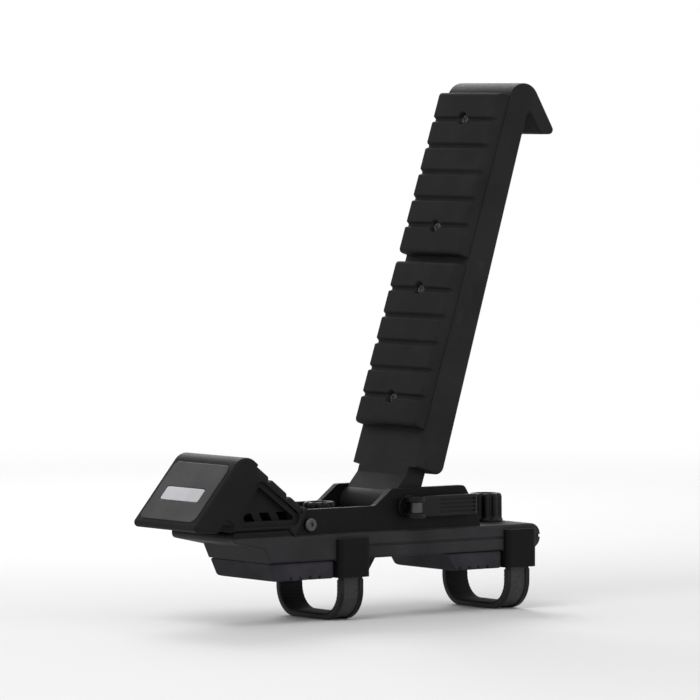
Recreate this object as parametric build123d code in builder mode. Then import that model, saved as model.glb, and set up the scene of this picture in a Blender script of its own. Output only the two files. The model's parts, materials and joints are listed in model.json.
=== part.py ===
"""J style kayak carrier with a folding upright and two screw-drawn band clamps.

X runs inboard along the section that the clamps grip, Y towards the rear and Z up.
The origin lies on the saddles' seat plane, midway between the two clamps. Sizes are in millimetres.
"""

import os
from math import cos, radians, sin, tan

from build123d import *

os.makedirs("parts", exist_ok=True)

# Section that the clamps grip
grip_chord = 80
grip_thickness = 30
grip_gap = 1

# Clearances
running_gap = 0.06
seat_gap = 0.1
slide_gap = 0.4
clear_gap = 1

# Base rail, from the saddles up
base_width = 92
saddle_height = 16
saddle_inset = 2
saddle_length = 60
saddle_groove = 3
saddle_groove_pitch = 10
rail_height = 22
rail_edge = 2
clamp_spacing = 180
inner_overhang = 25
beam_reach = 123
beam_rise = 6
beam_thickness = 9
foot_reach = 77
foot_height = 28
foot_angle = 25
gap_angle = 32
peg_radius = 5
peg_height = 5
rail_line = 2.4
rail_line_depth = 1.4
underside_depth = 8

# Cheeks on the base, which hold the hinge and the nose arm
ledge = 4
cheek_thickness = 6
cheek_height = 22
cheek_run_out = 14
cheek_corner = 5
tongue_reach = 60
hinge_x = -28
hinge_z = 58
hinge_wall = 16
hinge_panel = 62

# Clamps
band_width = 24
band_thickness = 2.5
band_edge = 4
band_edge_height = 1.2
band_corner = 22
liner_thickness = 2
yoke_width = 18
yoke_height = 12
yoke_headroom = 2
clamp_travel = 8
tower_wall = 3.5
tower_clearance = 1
tower_height = 33
tower_corner = 5
pocket_floor = 8
stud_radius = 4
stud_reach = 18
band_screw_radius = 2.5
band_screw_head = 5
band_screw_head_height = 2.2

# Hand knobs
knob_radius = 15
knob_height = 26
knob_flutes = 10
knob_flange = 4
flute_radius = 2.6
knob_recess = 3
washer_thickness = 1.5

# Nose arm
nose_overhang = 43
tip_height = 46
plate_angle = 50
plate_length = 86
slope_angle = 38
crest_radius = 14
lip_width = 28
lip_rise = 2
notch_width = 6
notch_height = 10
flange_thickness = 6
knob_room = 28
arm_edge = 2.5
recess_depth = 8
recess_wall = 4
recess_width = 58
recess_height = 30
recess_lead = 18
recess_step = 5
recess_step_depth = 2.5
window_count = 3
window_pitch = 18
window_width = 10
window_height = 7
window_slant = 4
cover_thickness = 2.5
cover_proud = 0.8
cover_margin = 6
badge_length = 56
badge_height = 15
badge_depth = 0.6
nose_pad_start = 18
nose_pad_length = 62
nose_pad_thickness = 8
cross_bolt_radius = 3
cross_bolt_head = 6
cross_bolt_head_height = 3
cross_bolt_socket = 2.1
cross_bolt_inset = 13
cross_bolt_rise = 9
cross_nut_height = 4.8
nose_screw_radius = 2.5
nose_screw_head = 5
nose_screw_head_height = 2.5
nose_screw_spread = 52
nose_screw_depth = 8

# Upright
lean = 18
hub_radius = 15
bolt_radius = 4
bolt_thread = 6
hinge_washer_radius = 8.8
hinge_nut_radius = 7.6
hinge_nut_height = 4.8
hinge_nut_dome = 6
hinge_nut_dome_height = 4
sleeve_wall = 3
friction_washer = 0.8
neck_length = 34
seat_offset = 4
arm_length = 404
arm_depth_low = 30
arm_depth_high = 22
arm_wall = 6
head_radius = 16
head_lip_length = 78
head_lip_angle = 42
head_lip_end = 18
rib_thickness = 4
rib_bays = 6
rib_depth = 9
pocket_start = 20
pocket_end = 308
pad_start = 68
pad_length = 146
pad_gap = 8
pad_thickness = 12
pad_width = 88
pad_edge = 3
pad_groove = 4
groove_depth = 3
groove_pitch = 24
screw_radius = 2.5
screw_head_radius = 4.5
screw_bite = 8
bumper_thickness = 3
bumper_height = 12
stop_thickness = 8

# Lock lever
cam_radius = 9
cam_throw = 1
cam_height = 18
cam_washer = 2.5
lever_length = 68
lever_thickness = 6
eye_radius = 6
eye_thickness = 9
cam_pin_radius = 3
grip_length = 38
grip_frame = 3
grip_depth = 1.4
grip_ribs = 3
grip_rib_height = 1.6

# Places worked out from the sizes above
clamp_x = clamp_spacing / 2
rail_bottom = saddle_height
rail_top = rail_bottom + rail_height
rail_inner = clamp_x + inner_overhang
rail_outer = -(clamp_x + beam_reach)
beam_top = rail_top + beam_rise
ramp_x = -(clamp_x + tongue_reach)
half_width = base_width / 2
cheek_outer = half_width - ledge
cheek_inner = cheek_outer - cheek_thickness
cheek_top = rail_top + cheek_height
hinge_top = hinge_z + hinge_wall

band_half = grip_chord / 2 + grip_gap + liner_thickness
band_bottom = -(grip_thickness + grip_gap + liner_thickness)
pocket_half = band_half + band_thickness + max(band_screw_head_height, band_edge_height) + tower_clearance
pocket_length = band_width + 2 * clear_gap
pocket_roof = rail_top - pocket_floor
tower_half = pocket_half + tower_wall
tower_length = pocket_length + 2 * tower_wall
gap_slant = rail_bottom * tan(radians(gap_angle))
gap_outer = tower_length / 2 - clamp_x
gap_inner = clamp_x - tower_length / 2 - saddle_length
yoke_top = pocket_roof - yoke_headroom
yoke_middle = yoke_top - yoke_height / 2
knob_seat = rail_top - knob_recess
knob_bottom = knob_seat + washer_thickness + seat_gap
stud_end = yoke_top - yoke_height - clamp_travel
stud_top = knob_bottom + stud_reach

tip = (rail_outer - nose_overhang, tip_height)
plate_run = (cos(radians(plate_angle)), sin(radians(plate_angle)))
apex = (tip[0] + plate_length * plate_run[0], tip[1] + plate_length * plate_run[1])
nose_end = -(clamp_x + knob_room)
cross_bolt_x = nose_end - cross_bolt_inset
cross_bolt_z = rail_top + cross_bolt_rise
nose_screw_x = rail_outer + nose_screw_spread / 2
nose_screw_y = nose_screw_spread / 2
nose_screw_seat = beam_top - nose_screw_depth

hub_half = cheek_inner - friction_washer - 2 * seat_gap
stop_offset = hub_radius + slide_gap
pad_starts = {"lower": pad_start, "upper": pad_start + pad_length + pad_gap}
cam_pin_y = -(cheek_outer + cam_washer + seat_gap + cam_radius + cam_throw)

# Planes of the nose's two slopes and of the upright
plate_plane = Plane(
    origin=(tip[0], 0, tip[1]),
    x_dir=(plate_run[0], 0, plate_run[1]),
    z_dir=(-plate_run[1], 0, plate_run[0]),
)
slope_run = (cos(radians(slope_angle)), -sin(radians(slope_angle)))
slope_plane = Plane(
    origin=(apex[0], 0, apex[1]),
    x_dir=(slope_run[0], 0, slope_run[1]),
    z_dir=(-slope_run[1], 0, slope_run[0]),
)
along = Vector(sin(radians(lean)), 0, cos(radians(lean)))
facing = Vector(-cos(radians(lean)), 0, sin(radians(lean)))
pivot = Vector(hinge_x, 0, hinge_z)
side_plane = Plane(origin=pivot, x_dir=along, z_dir=(0, -1, 0))
seat_plane = Plane(origin=pivot + facing * seat_offset, x_dir=along, z_dir=facing)
hinge_plane = Plane.XZ.offset(-cheek_outer)


def foot_edge(height):
    """X of the outer foot's sloping edge at a height above the seat plane."""
    return -(clamp_x + foot_reach + height * tan(radians(foot_angle)))


def gap_edge(height):
    """X of the inner end of the gap between the feet at a height above the seat plane."""
    return gap_inner + gap_slant * (1 - height / rail_bottom)


def slope_height(x):
    """Height of the nose's inner slope above the seat plane at x."""
    return apex[1] - (x - apex[0]) * tan(radians(slope_angle))


def y_plane(y):
    """Plane square to Y at y, whose sketches read as X and Z."""
    return Plane.XZ.offset(-y)


def finish(piece, name):
    """Label a finished piece and write its file."""
    piece.label = name
    export_step(piece, f"parts/{name}.step")


def cheek_face(grow=0):
    """Side view of one cheek, from the nose arm's tongue to past the hinge."""
    with BuildSketch() as outline:
        with BuildLine():
            Polyline(
                (ramp_x, rail_top - rail_edge),
                (ramp_x + cheek_run_out, cheek_top),
                (hinge_x - 2 * hinge_wall - rail_edge, cheek_top),
                (hinge_x - hinge_wall, hinge_top),
                (hinge_x + hinge_panel, hinge_top),
                (hinge_x + hinge_panel + cheek_run_out, rail_top + cheek_run_out),
                (hinge_x + hinge_panel + cheek_run_out + ledge, rail_top - rail_edge),
                close=True,
            )
        make_face()
        fillet(outline.vertices().filter_by(lambda v: v.Y > rail_top), cheek_corner)
        if grow:
            offset(amount=grow)
    return outline.sketch


# Base: rail, outer beam, clamp towers, cheeks and back stop in one moulding
with BuildPart() as base:
    with BuildSketch(Plane.XZ):
        with BuildLine():
            Polyline(
                (rail_inner, rail_bottom),
                (rail_inner, rail_top),
                (ramp_x, rail_top),
                (ramp_x - beam_rise, beam_top),
                (rail_outer, beam_top),
                (rail_outer, beam_top - beam_thickness),
                (foot_edge(foot_height), foot_height),
                (foot_edge(rail_bottom), rail_bottom),
                close=True,
            )
        make_face()
    extrude(amount=half_width, both=True)
    inner_end = base.edges().filter_by(Axis.Y).group_by(Axis.X)[-1]
    fillet(inner_end, rail_height / 2 - clear_gap)
    outer_end = base.edges().filter_by(Axis.Y).group_by(Axis.X)[0]
    fillet(outer_end, beam_thickness / 2 - seat_gap)
    fillet(base.faces().filter_by(Axis.Y).edges(), rail_edge)
    # Groove line along the rail's sides, from the outer clamp round the inner end
    line_length = rail_inner + clamp_x
    with BuildSketch(Plane.XY.offset(rail_bottom + (rail_height - rail_line) / 2)):
        with Locations((-clamp_x, 0)):
            Rectangle(line_length + clear_gap, base_width + clear_gap, align=(Align.MIN, Align.CENTER))
            Rectangle(
                line_length - rail_line_depth,
                base_width - 2 * rail_line_depth,
                align=(Align.MIN, Align.CENTER),
                mode=Mode.SUBTRACT,
            )
    extrude(amount=rail_line, mode=Mode.SUBTRACT)
    # Towers of the clamps, and a gusset that slants the outer end of the gap between the feet
    with BuildSketch(Plane.XZ):
        with BuildLine():
            Polyline(
                (gap_outer - tower_wall, clear_gap),
                (gap_outer, clear_gap),
                (gap_outer + gap_slant, rail_bottom),
                (gap_outer + gap_slant, rail_bottom + rail_edge),
                (gap_outer - tower_wall, rail_bottom + rail_edge),
                close=True,
            )
        make_face()
    extrude(amount=half_width - rail_edge, both=True)
    with BuildSketch(Plane.XY.offset(clear_gap)):
        with Locations((-clamp_x, 0), (clamp_x, 0)):
            RectangleRounded(tower_length, 2 * tower_half, tower_corner)
    extrude(amount=tower_height)
    for y in (-cheek_outer, cheek_inner):
        with BuildSketch(y_plane(y)):
            add(cheek_face())
        extrude(amount=-cheek_thickness)
    with BuildSketch(side_plane):
        with Locations((0, -stop_offset - bumper_thickness)):
            Rectangle(2 * hub_radius, stop_thickness, align=(Align.CENTER, Align.MAX))
    extrude(amount=cheek_inner + clear_gap, both=True)
    # Pockets for the yokes, open downwards
    with BuildSketch(Plane.XY):
        with Locations((-clamp_x, 0), (clamp_x, 0)):
            Rectangle(pocket_length, 2 * pocket_half)
    extrude(amount=pocket_roof, mode=Mode.SUBTRACT)
    with Locations((-clamp_x, 0, rail_top), (clamp_x, 0, rail_top)):
        CounterBoreHole(stud_radius + slide_gap, knob_radius + 2 * clear_gap, knob_recess, rail_height)
    # Ribbed underside between the feet
    rib_room = gap_inner - gap_outer - gap_slant
    with BuildSketch(Plane.XY.offset(rail_bottom)):
        with Locations((gap_inner - rib_room / 2, 0)):
            with GridLocations(rib_room / 3, half_width - tower_wall, 3, 2):
                RectangleRounded(rib_room / 3 - rib_thickness, half_width - 2 * tower_wall, clear_gap)
    extrude(amount=underside_depth, mode=Mode.SUBTRACT)
    # Bores of the hinge bolt, the cross bolt, the nose screws and the saddles' pegs
    with BuildSketch(hinge_plane):
        with Locations((hinge_x, hinge_z)):
            Circle(bolt_radius + running_gap)
        with Locations((cross_bolt_x, cross_bolt_z)):
            Circle(cross_bolt_radius + seat_gap)
    extrude(amount=2 * cheek_outer, mode=Mode.SUBTRACT)
    with BuildSketch(Plane.XY.offset(beam_top)):
        with Locations((nose_screw_x, -nose_screw_y), (nose_screw_x, nose_screw_y)):
            Circle(nose_screw_radius + seat_gap)
    extrude(amount=-beam_thickness * 2, mode=Mode.SUBTRACT)
    with BuildSketch(Plane.XY.offset(nose_screw_seat)):
        with Locations((nose_screw_x, -nose_screw_y), (nose_screw_x, nose_screw_y)):
            Circle(nose_screw_head + slide_gap)
    extrude(amount=-beam_thickness, mode=Mode.SUBTRACT)
    with BuildSketch(Plane.XY.offset(rail_bottom)):
        for x in (-clamp_x, clamp_x):
            with Locations((x - (tower_length + saddle_length) / 2, 0)):
                with GridLocations(saddle_length / 2, half_width, 2, 2):
                    Circle(peg_radius + slide_gap)
    extrude(amount=peg_height + slide_gap, mode=Mode.SUBTRACT)
finish(base.part, "base")


def make_saddle(name, clamp, outer_edge):
    """Rubber saddle beside a clamp, with pegs into the rail and a grooved underside."""
    inboard = clamp - tower_length / 2 - slide_gap
    middle = clamp - (tower_length + saddle_length) / 2
    with BuildPart() as saddle:
        with BuildSketch(Plane.XZ):
            with BuildLine():
                Polyline(
                    (inboard, 0),
                    (inboard, rail_bottom),
                    (outer_edge(rail_bottom), rail_bottom),
                    (outer_edge(0), 0),
                    close=True,
                )
            make_face()
        extrude(amount=half_width - saddle_inset, both=True)
        fillet(saddle.edges().filter_by(Axis.Z), saddle_groove)
        with BuildSketch(Plane.XY.offset(rail_bottom)):
            with Locations((middle, 0)):
                with GridLocations(saddle_length / 2, half_width, 2, 2):
                    Circle(peg_radius)
        extrude(amount=peg_height)
        with BuildSketch(Plane.XY):
            with Locations((middle, 0)):
                with GridLocations(saddle_groove_pitch, 0, 4, 1):
                    Rectangle(saddle_groove, base_width)
        extrude(amount=saddle_groove, mode=Mode.SUBTRACT)
    finish(saddle.part, name)


make_saddle("outer_saddle", -clamp_x, foot_edge)
make_saddle("inner_saddle", clamp_x, gap_edge)


# Nose arm: hook with recessed, windowed sides, standing on the base's outer beam
with BuildPart() as nose_arm:
    with BuildSketch(Plane.XZ) as hook:
        lip_corner = (tip[0] + lip_width, tip[1] - lip_rise)
        notch_peak = (rail_outer - notch_width, beam_top + notch_height)
        with BuildLine():
            Polyline(
                tip,
                apex,
                (nose_end, slope_height(nose_end)),
                (nose_end, rail_top),
                (ramp_x, rail_top),
                (ramp_x - beam_rise, beam_top),
                (rail_outer, beam_top),
                (rail_outer, beam_top + flange_thickness),
                notch_peak,
                lip_corner,
                close=True,
            )
        make_face()
        fillet(hook.vertices().sort_by_distance(apex)[0], crest_radius)
        fillet(hook.vertices().sort_by_distance(tip)[0], lip_rise * 2)
        fillet(hook.vertices().sort_by_distance(lip_corner)[0], lip_rise * 2)
        fillet(hook.vertices().sort_by_distance(notch_peak)[0], lip_rise)
    extrude(amount=half_width, both=True)
    fillet(nose_arm.faces().filter_by(Axis.Y).edges(), arm_edge)
    # Seats of the pad and of the cover
    with BuildSketch(slope_plane):
        with Locations((nose_pad_start + nose_pad_length / 2, 0)):
            Rectangle(nose_pad_length + 2 * seat_gap, base_width)
    extrude(amount=-nose_pad_thickness, mode=Mode.SUBTRACT)
    with BuildSketch(plate_plane.offset(cover_proud - cover_thickness)):
        with Locations((plate_length / 2 - cover_margin / 2, 0)):
            RectangleRounded(
                plate_length - crest_radius - 2 * cover_margin + 2 * seat_gap,
                base_width - 2 * cover_margin + 2 * seat_gap,
                cover_margin,
            )
    extrude(amount=cover_thickness, mode=Mode.SUBTRACT)
    # Room for the cheeks
    for y, depth in ((-cheek_inner + slide_gap, base_width), (cheek_inner - slide_gap, -base_width)):
        with BuildSketch(y_plane(y)):
            add(cheek_face(slide_gap))
        extrude(amount=depth, mode=Mode.SUBTRACT)
    # Stepped triangular recess in each side, the hollow between them and the windows
    recess_base = beam_top + flange_thickness + lip_rise
    recess_outer = rail_outer + notch_width + arm_edge + clear_gap
    with BuildSketch(Plane.XZ) as recess:
        with BuildLine():
            Polyline(
                (recess_outer, recess_base),
                (recess_outer + recess_lead, recess_base + recess_height),
                (recess_outer + recess_width, recess_base),
                close=True,
            )
        make_face()
        fillet(recess.vertices(), lip_rise)
    extrude(amount=half_width - recess_depth - recess_wall, both=True, mode=Mode.SUBTRACT)
    for y, depth in ((-half_width + recess_depth, base_width), (half_width - recess_depth, -base_width)):
        with BuildSketch(y_plane(y)):
            add(recess.sketch_local)
        extrude(amount=depth, mode=Mode.SUBTRACT)
    step_face = half_width - recess_step_depth
    for y, depth in ((-step_face, base_width), (step_face, -base_width)):
        with BuildSketch(y_plane(y)):
            add(recess.sketch_local)
            offset(amount=recess_step)
        extrude(amount=depth, mode=Mode.SUBTRACT)
    with BuildSketch(Plane.XZ):
        for index in range(window_count):
            start = recess_outer + window_slant + index * window_pitch
            with BuildLine():
                Polyline(
                    (start + window_slant, recess_base),
                    (start + window_slant + window_width, recess_base),
                    (start + window_width, recess_base + window_height),
                    (start, recess_base + window_height),
                    close=True,
                )
            make_face()
    extrude(amount=half_width - recess_depth + clear_gap, both=True, mode=Mode.SUBTRACT)
    # Bores of its fasteners
    with BuildSketch(hinge_plane):
        with Locations((cross_bolt_x, cross_bolt_z)):
            Circle(cross_bolt_radius + seat_gap)
    extrude(amount=2 * cheek_outer, mode=Mode.SUBTRACT)
    with BuildSketch(Plane.XY.offset(beam_top)):
        with Locations((nose_screw_x, -nose_screw_y), (nose_screw_x, nose_screw_y)):
            Circle(nose_screw_radius + seat_gap)
    extrude(amount=flange_thickness, mode=Mode.SUBTRACT)
finish(nose_arm.part, "nose_arm")

# Cover plate on the nose's outer slope, with a shallow bare badge field
with BuildPart() as nose_cover:
    with BuildSketch(plate_plane.offset(cover_proud - cover_thickness)):
        with Locations((plate_length / 2 - cover_margin / 2, 0)):
            RectangleRounded(
                plate_length - crest_radius - 2 * cover_margin,
                base_width - 2 * cover_margin,
                cover_margin,
            )
    extrude(amount=cover_thickness)
    fillet(nose_cover.faces().sort_by(Axis((0, 0, 0), plate_plane.z_dir))[-1].edges(), badge_depth)
    with BuildSketch(plate_plane.offset(cover_proud)):
        with Locations((plate_length / 2 - cover_margin, 0)):
            RectangleRounded(badge_height, badge_length, badge_depth * 2)
    extrude(amount=-badge_depth, mode=Mode.SUBTRACT)
finish(nose_cover.part, "nose_cover")


def make_pad(name, plane, start, length, width, thickness, screws):
    """Rubber pad on a plane, with rounded edges, cross grooves and countersunk screw holes."""
    with BuildPart() as pad:
        with BuildSketch(plane):
            with Locations((start + length / 2, 0)):
                RectangleRounded(length, width, pad_edge)
        extrude(amount=thickness)
        fillet(pad.faces().sort_by(Axis((0, 0, 0), plane.z_dir))[-1].edges(), pad_edge)
        grooves = int((length - groove_pitch / 2) // groove_pitch)
        with BuildSketch(plane.offset(thickness)):
            with Locations((start + length / 2, 0)):
                with GridLocations(groove_pitch, 0, grooves, 1):
                    Rectangle(pad_groove, width)
        extrude(amount=-groove_depth, mode=Mode.SUBTRACT)
        if screws:
            with BuildSketch(plane):
                with Locations(*screws):
                    Circle(screw_radius + seat_gap)
            extrude(amount=thickness, mode=Mode.SUBTRACT)
            with BuildSketch(plane.offset(thickness - 2 * groove_depth)):
                with Locations(*screws):
                    Circle(screw_head_radius + slide_gap)
            extrude(amount=thickness, mode=Mode.SUBTRACT)
    finish(pad.part, name)


make_pad(
    "nose_pad",
    slope_plane.offset(-nose_pad_thickness),
    nose_pad_start,
    nose_pad_length,
    base_width - 2 * arm_edge,
    nose_pad_thickness + cover_proud,
    [],
)

# Fasteners of the nose arm
with BuildPart() as nose_cross_bolt:
    with BuildSketch(y_plane(-cheek_outer)):
        with Locations((cross_bolt_x, cross_bolt_z)):
            Circle(cross_bolt_head)
    extrude(amount=cross_bolt_head_height)
    fillet(nose_cross_bolt.edges().sort_by(Axis.Y)[0], cross_bolt_head_height / 2)
    with BuildSketch(y_plane(-cheek_outer)):
        with Locations((cross_bolt_x, cross_bolt_z)):
            Circle(cross_bolt_radius)
    extrude(amount=-2 * cheek_outer - cross_nut_height - clear_gap)
    with BuildSketch(y_plane(-cheek_outer - cross_bolt_head_height)):
        with Locations((cross_bolt_x, cross_bolt_z)):
            RegularPolygon(cross_bolt_socket, 6)
    extrude(amount=-cross_bolt_head_height / 2, mode=Mode.SUBTRACT)
finish(nose_cross_bolt.part, "nose_cross_bolt")

with BuildPart() as nose_cross_nut:
    with BuildSketch(y_plane(cheek_outer)):
        with Locations((cross_bolt_x, cross_bolt_z)):
            RegularPolygon(cross_bolt_head, 6)
            Circle(cross_bolt_radius + running_gap, mode=Mode.SUBTRACT)
    extrude(amount=-cross_nut_height)
finish(nose_cross_nut.part, "nose_cross_nut")

with BuildPart() as nose_screws:
    with BuildSketch(Plane.XY.offset(nose_screw_seat)):
        with Locations((nose_screw_x, -nose_screw_y), (nose_screw_x, nose_screw_y)):
            Circle(nose_screw_radius)
    extrude(amount=beam_top - nose_screw_seat + flange_thickness - clear_gap)
    with BuildSketch(Plane.XY.offset(nose_screw_seat)):
        with Locations((nose_screw_x, -nose_screw_y), (nose_screw_x, nose_screw_y)):
            Circle(nose_screw_head)
            RegularPolygon(nose_screw_radius, 6, mode=Mode.SUBTRACT)
    extrude(amount=-nose_screw_head_height)
finish(nose_screws.part, "nose_screws")

# Upright arm: hub, neck, tapered body with a ribbed back and a hooked head
with BuildPart() as upright_arm:
    lip_run = Vector(-sin(radians(head_lip_angle)), -cos(radians(head_lip_angle)))
    level = Vector(-sin(radians(lean)), cos(radians(lean)))
    head_apex = Vector(arm_length, seat_offset)
    lip_outer = head_apex + lip_run * head_lip_length
    lip_inner = lip_outer + level * head_lip_end
    back_high = seat_offset - arm_depth_high
    back_low = seat_offset - arm_depth_low
    throat = lip_inner - lip_run * ((back_high - lip_inner.Y) / -lip_run.Y)
    with BuildSketch(side_plane) as arm_side:
        with BuildLine():
            Polyline(
                (neck_length, seat_offset),
                (head_apex.X, head_apex.Y),
                (lip_outer.X, lip_outer.Y),
                (lip_inner.X, lip_inner.Y),
                (throat.X, throat.Y),
                (neck_length, back_low),
                close=True,
            )
        make_face()
        fillet(arm_side.vertices().sort_by_distance((head_apex.X, head_apex.Y))[0], head_radius)
        fillet(arm_side.vertices().sort_by_distance((lip_outer.X, lip_outer.Y))[0], lip_rise * 2)
        fillet(arm_side.vertices().sort_by_distance((lip_inner.X, lip_inner.Y))[0], lip_rise * 2)
        fillet(arm_side.vertices().sort_by_distance((throat.X, throat.Y))[0], lip_rise)
        fillet(arm_side.vertices().sort_by_distance((neck_length, back_low))[0], lip_rise * 4)
    extrude(amount=half_width, both=True)
    fillet(upright_arm.faces().filter_by(Axis.Y).edges(), arm_edge)
    # Ribbed pockets in the back
    bay = (pocket_end - pocket_start) / rib_bays
    pocket_width = base_width - 2 * arm_wall
    diagonal = (bay**2 + pocket_width**2) ** 0.5
    taper = (throat - Vector(neck_length, back_low)).normalized()
    back_plane = Plane(
        origin=pivot + along * neck_length + facing * back_low,
        x_dir=along * taper.X + facing * taper.Y,
        z_dir=along * taper.Y - facing * taper.X,
    )
    with BuildSketch(back_plane):
        with Locations(((pocket_start + pocket_end) / 2, 0)):
            Rectangle(pocket_end - pocket_start, pocket_width)
        for index in range(rib_bays):
            turn = Vector(bay, pocket_width).get_angle(Vector(1, 0)) * (-1) ** index
            with Locations(Location((pocket_start + (index + 0.5) * bay, 0), turn)):
                Rectangle(diagonal, rib_thickness, mode=Mode.SUBTRACT)
            with Locations((pocket_start + index * bay, 0)):
                Rectangle(rib_thickness, pocket_width, mode=Mode.SUBTRACT)
    extrude(amount=-rib_depth, mode=Mode.SUBTRACT)
    # Hub and neck between the cheeks
    with BuildSketch(side_plane):
        Circle(hub_radius)
        with BuildLine():
            Polyline(
                (0, -hub_radius),
                (neck_length + 2 * rib_thickness, -hub_radius),
                (neck_length + 2 * rib_thickness, seat_offset),
                (neck_length - hub_radius / 2, seat_offset),
                (0, hub_radius),
                close=True,
            )
        make_face()
    extrude(amount=hub_half, both=True)
    with BuildSketch(side_plane):
        Circle(bolt_radius + sleeve_wall + running_gap / 2)
    extrude(amount=base_width, both=True, mode=Mode.SUBTRACT)
    # Holes of the pad screws
    with BuildSketch(seat_plane):
        for start in pad_starts.values():
            with Locations((start + pad_length / 2, 0)):
                with GridLocations(pad_length - 2 * groove_pitch, 0, 2, 1):
                    Circle(screw_radius)
    extrude(amount=-screw_bite - clear_gap, mode=Mode.SUBTRACT)
finish(upright_arm.part, "upright_arm")

for position, start in pad_starts.items():
    middle = start + pad_length / 2
    reach = pad_length / 2 - groove_pitch
    screw_places = [(middle - reach, 0), (middle + reach, 0)]
    make_pad(
        f"upright_{position}_pad",
        seat_plane,
        start,
        pad_length,
        pad_width,
        pad_thickness,
        screw_places,
    )

with BuildPart() as pad_screws:
    for start in pad_starts.values():
        with BuildSketch(seat_plane):
            with Locations((start + pad_length / 2, 0)):
                with GridLocations(pad_length - 2 * groove_pitch, 0, 2, 1):
                    Circle(screw_radius - running_gap)
        extrude(amount=pad_thickness - groove_depth)
        with BuildSketch(seat_plane):
            with Locations((start + pad_length / 2, 0)):
                with GridLocations(pad_length - 2 * groove_pitch, 0, 2, 1):
                    Circle(screw_radius - running_gap)
        extrude(amount=-screw_bite)
        with BuildSketch(seat_plane.offset(pad_thickness - 2 * groove_depth)):
            with Locations((start + pad_length / 2, 0)):
                with GridLocations(pad_length - 2 * groove_pitch, 0, 2, 1):
                    Circle(screw_head_radius)
        extrude(amount=groove_depth)
finish(pad_screws.part, "pad_screws")

with BuildPart() as hub_sleeve:
    with BuildSketch(side_plane):
        Circle(bolt_radius + sleeve_wall)
        Circle(bolt_radius + running_gap, mode=Mode.SUBTRACT)
    extrude(amount=hub_half, both=True)
finish(hub_sleeve.part, "hub_sleeve")

with BuildPart() as stop_bumper:
    with BuildSketch(side_plane):
        with Locations((clear_gap, -stop_offset - bumper_thickness)):
            Rectangle(bumper_height, bumper_thickness, align=Align.MIN)
    extrude(amount=half_width / 2, both=True)
finish(stop_bumper.part, "stop_bumper")

# Hinge bolt with a flat eye for the cam pin at its front end
with BuildPart() as hinge_bolt:
    bolt_end = cheek_outer + washer_thickness + bolt_thread
    with BuildSketch(y_plane(bolt_end)):
        with Locations((hinge_x, hinge_z)):
            Circle(bolt_radius)
    extrude(amount=bolt_end - cam_pin_y - cam_pin_radius)
    with BuildSketch(Plane.XY.offset(hinge_z - eye_thickness / 2)):
        with Locations((hinge_x, cam_pin_y)):
            Circle(eye_radius)
    extrude(amount=eye_thickness)
    with BuildSketch(Plane.XY.offset(hinge_z - eye_thickness / 2)):
        with Locations((hinge_x, cam_pin_y)):
            Circle(cam_pin_radius + running_gap)
    extrude(amount=eye_thickness, mode=Mode.SUBTRACT)
finish(hinge_bolt.part, "hinge_bolt")


def make_ring(name, y_places, inner, outer, thickness):
    """Flat rings round the hinge bolt, each starting at a place along Y."""
    with BuildPart() as ring:
        for y in y_places:
            with BuildSketch(y_plane(y)):
                with Locations((hinge_x, hinge_z)):
                    Circle(outer)
                    Circle(inner, mode=Mode.SUBTRACT)
            extrude(amount=-thickness)
    finish(ring.part, name)


ring_bore = bolt_radius + seat_gap
make_ring("hinge_washer", [cheek_outer], ring_bore, hinge_washer_radius, washer_thickness)
make_ring("cam_washer", [-cheek_outer - cam_washer], ring_bore, cam_radius + cam_throw, cam_washer)
make_ring(
    "friction_washers",
    [-hub_half - seat_gap - friction_washer, hub_half + seat_gap],
    ring_bore,
    hub_radius - clear_gap,
    friction_washer,
)

with BuildPart() as hinge_nut:
    nut_start = cheek_outer + washer_thickness
    with BuildSketch(y_plane(nut_start)):
        with Locations((hinge_x, hinge_z)):
            RegularPolygon(hinge_nut_radius, 6)
    extrude(amount=-hinge_nut_height)
    with BuildSketch(y_plane(nut_start)):
        with Locations((hinge_x, hinge_z)):
            Circle(hinge_nut_dome)
    extrude(amount=-hinge_nut_height - hinge_nut_dome_height)
    fillet(hinge_nut.edges().sort_by(Axis.Y)[-1], hinge_nut_dome_height - seat_gap)
    with BuildSketch(y_plane(nut_start)):
        with Locations((hinge_x, hinge_z)):
            Circle(bolt_radius + running_gap)
    extrude(amount=-bolt_thread - slide_gap, mode=Mode.SUBTRACT)
finish(hinge_nut.part, "hinge_nut")

with BuildPart() as cam_pin:
    with BuildSketch(Plane.XY.offset(hinge_z - cam_height / 2)):
        with Locations((hinge_x, cam_pin_y)):
            Circle(cam_pin_radius)
    extrude(amount=cam_height)
finish(cam_pin.part, "cam_pin")

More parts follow.
